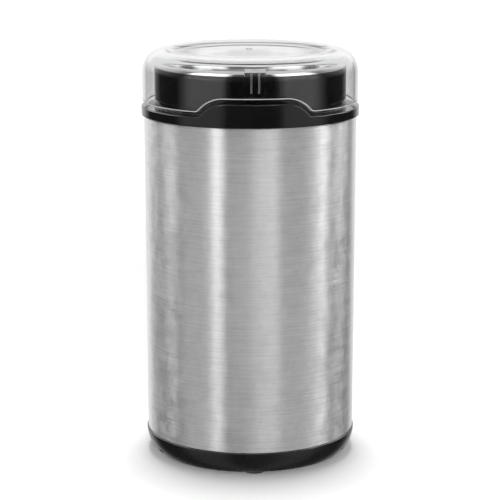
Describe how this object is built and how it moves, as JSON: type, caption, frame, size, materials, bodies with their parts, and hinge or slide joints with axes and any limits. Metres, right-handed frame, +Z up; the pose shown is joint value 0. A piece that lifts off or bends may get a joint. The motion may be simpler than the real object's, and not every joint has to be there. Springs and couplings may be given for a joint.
{
  "type": "electric spice grinder",
  "caption": "Cylindrical electric spice grinder: press-down clear lid over a steel grinding bowl with a spinning blade, brushed steel sleeve and black base.",
  "frame": {"origin": "on the surface the feet stand on, on the axis of the round body", "axes": "+Z up along the body's axis; -Y is the front, where the collar's raised tab stands; +X to its right"},
  "size_m": [0.095, 0.095, 0.1802],
  "materials": {
    "clear_plastic": "clear, polished",
    "black_gloss": "gloss",
    "black_satin": "satin",
    "brushed_steel": "brushed round the body",
    "bowl_steel": "polished",
    "blade_steel": "ground",
    "rubber": "matt",
    "zinc": "bright zinc",
    "spring_steel": "drawn",
    "lamination": "stacked sheet",
    "copper": "enamelled wire",
    "brass": "pressed sheet",
    "bronze": "sintered",
    "carbon": "pressed carbon",
    "white_plastic": "moulded",
    "red_plastic": "moulded",
    "aluminium": "cast",
    "wire_cover": "extruded"
  },
  "bodies": {
    "root": {"base_cover": "black_satin", "base_screws": "zinc", "bowl_gasket": "rubber", "bowl_ring_nut": "bowl_steel", "brush_caps": "white_plastic", "brush_holders": "brass", "brush_springs": "spring_steel", "carbon_brushes": "carbon", "cord_outlet_bush": "rubber", "field_coils": "copper", "grinding_bowl": "bowl_steel", "internal_leads": "wire_cover", "lower_bearing": "bronze", "lower_bracket": "aluminium", "lower_motor_mount": "rubber", "main_housing": "black_satin", "microswitch_body": "black_satin", "microswitch_screws": "zinc", "motor_bulkhead": "black_satin", "motor_dampers": "rubber", "motor_screws": "zinc", "return_spring": "spring_steel", "rubber_feet": "rubber", "shaft_seal": "rubber", "stator_core": "lamination", "steel_sleeve": "brushed_steel", "terminal_block": "white_plastic", "terminal_screws": "zinc", "thermal_fuse": "zinc", "through_bolts": "zinc", "top_collar": "black_gloss", "upper_bearing": "bronze", "upper_bracket": "aluminium"},
    "plunger": {"push_rod": "white_plastic"},
    "lid": {"clear_lid": "clear_plastic"},
    "rotor": {"blade": "blade_steel", "blade_nut": "blade_steel", "blade_spacer": "black_satin", "motor_shaft": "blade_steel", "armature_core": "lamination", "armature_windings": "copper", "commutator": "copper", "cooling_fan": "white_plastic"},
    "switch_lever": {"microswitch_lever": "spring_steel"},
    "switch_button": {"microswitch_button": "red_plastic"}
  },
  "joints": [
    {"name": "lid_press", "type": "slide", "parent": "root", "child": "plunger", "axis": [0, 0, -1], "range_m": [0, 0.0015], "stiffness_N_per_m": 1500, "springref_m": -0.002, "deforming": ["return_spring"]},
    {"name": "lid_lift", "type": "slide", "parent": "plunger", "child": "lid", "axis": [0, 0, 1], "range_m": [0, 0.06]},
    {"name": "blade_spin", "type": "hinge", "parent": "root", "child": "rotor", "pos_m": [0, 0, 0.1], "axis": [0, 0, 1], "continuous": true},
    {"name": "switch_lever_turn", "type": "hinge", "parent": "root", "child": "switch_lever", "pos_m": [-0.0104, -0.038, 0.1052], "axis": [0, 1, 0], "range_deg": [0, 7.6]},
    {"name": "switch_button_press", "type": "slide", "parent": "root", "child": "switch_button", "axis": [0, 0, -1], "range_m": [0, 0.0005]}
  ],
  "couplings": [
    {"joint": "switch_lever_turn", "follows": "lid_press", "rad_per_m": 86},
    {"joint": "switch_button_press", "follows": "lid_press", "ratio": 0.31}
  ]
}
